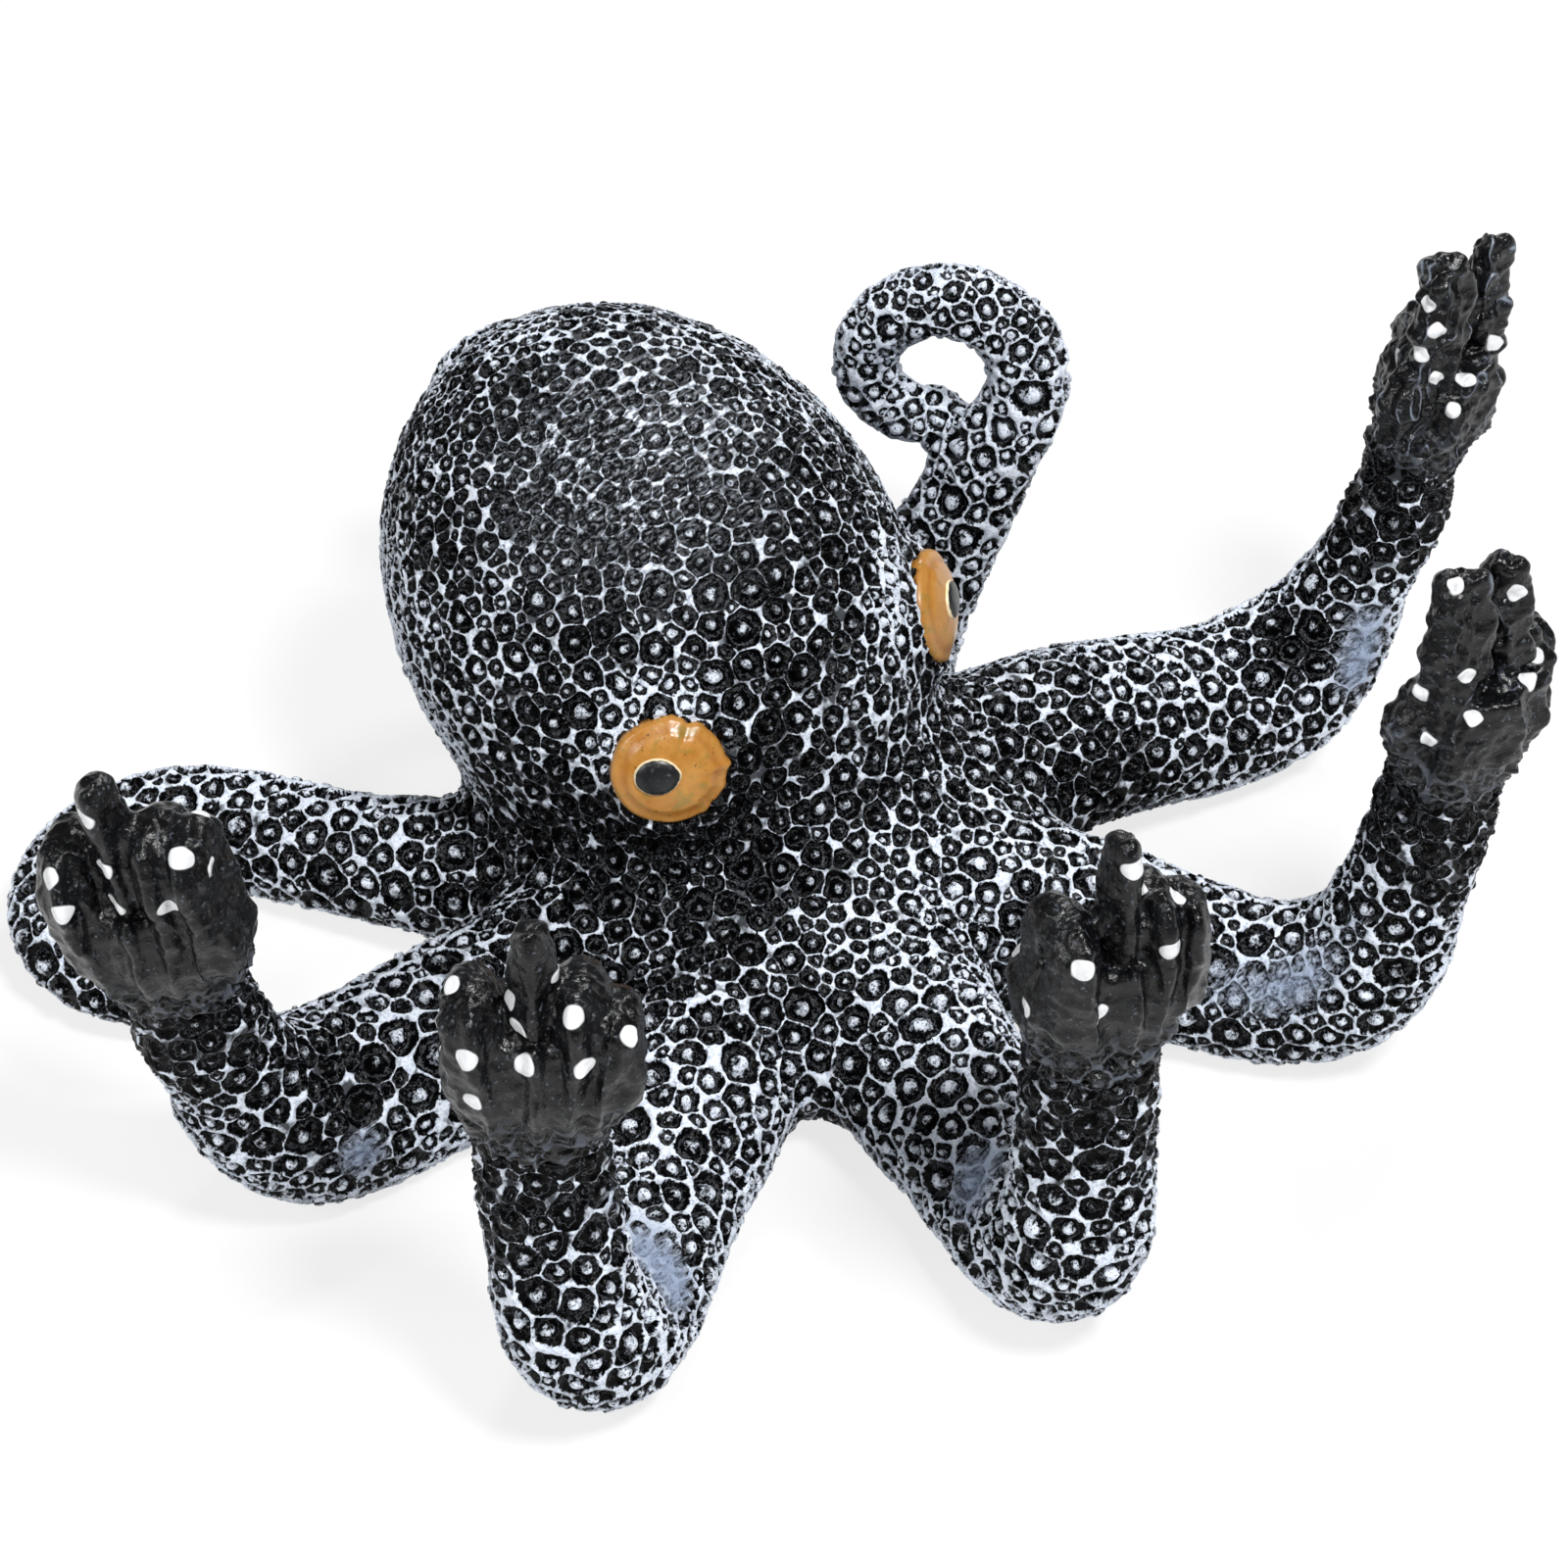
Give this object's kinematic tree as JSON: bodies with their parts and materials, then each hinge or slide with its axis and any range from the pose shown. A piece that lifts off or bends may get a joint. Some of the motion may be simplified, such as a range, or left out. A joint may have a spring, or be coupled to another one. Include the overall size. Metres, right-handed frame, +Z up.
{
  "type": "octopus figurine",
  "caption": "Desk figurine of an octopus with a domed head and arms that end in raised fists or curls, free-standing on its flat underside.",
  "frame": {"origin": "on the flat underside, on the body's upright axis where the lines of the arms meet", "axes": "+Z up, -Y the way the octopus faces, +X its left"},
  "size_m": [0.1554, 0.1261, 0.0644],
  "materials": {
    "skin": "cast resin, black base coat with pale blue-grey dry brushing",
    "fist": "cast resin, satin black paint with white dots",
    "eye": "satin orange paint",
    "pupil": "satin black paint",
    "pin": "drawn wire"
  },
  "bodies": {
    "root": {"body": "skin", "arm_left_1": "skin", "arm_left_2": "skin", "arm_left_3": "skin", "arm_left_4": "skin", "arm_right_1": "skin", "arm_right_2": "skin", "arm_right_3": "skin", "arm_right_4": "skin", "fist_left_1": "fist", "fist_left_2": "fist", "fist_right_1": "fist", "fist_right_2": "fist", "fist_right_3": "fist", "wrist_pins": "pin", "eye_left": "eye", "eye_right": "eye", "pupil_left": "pupil", "pupil_right": "pupil"}
  },
  "joints": []
}
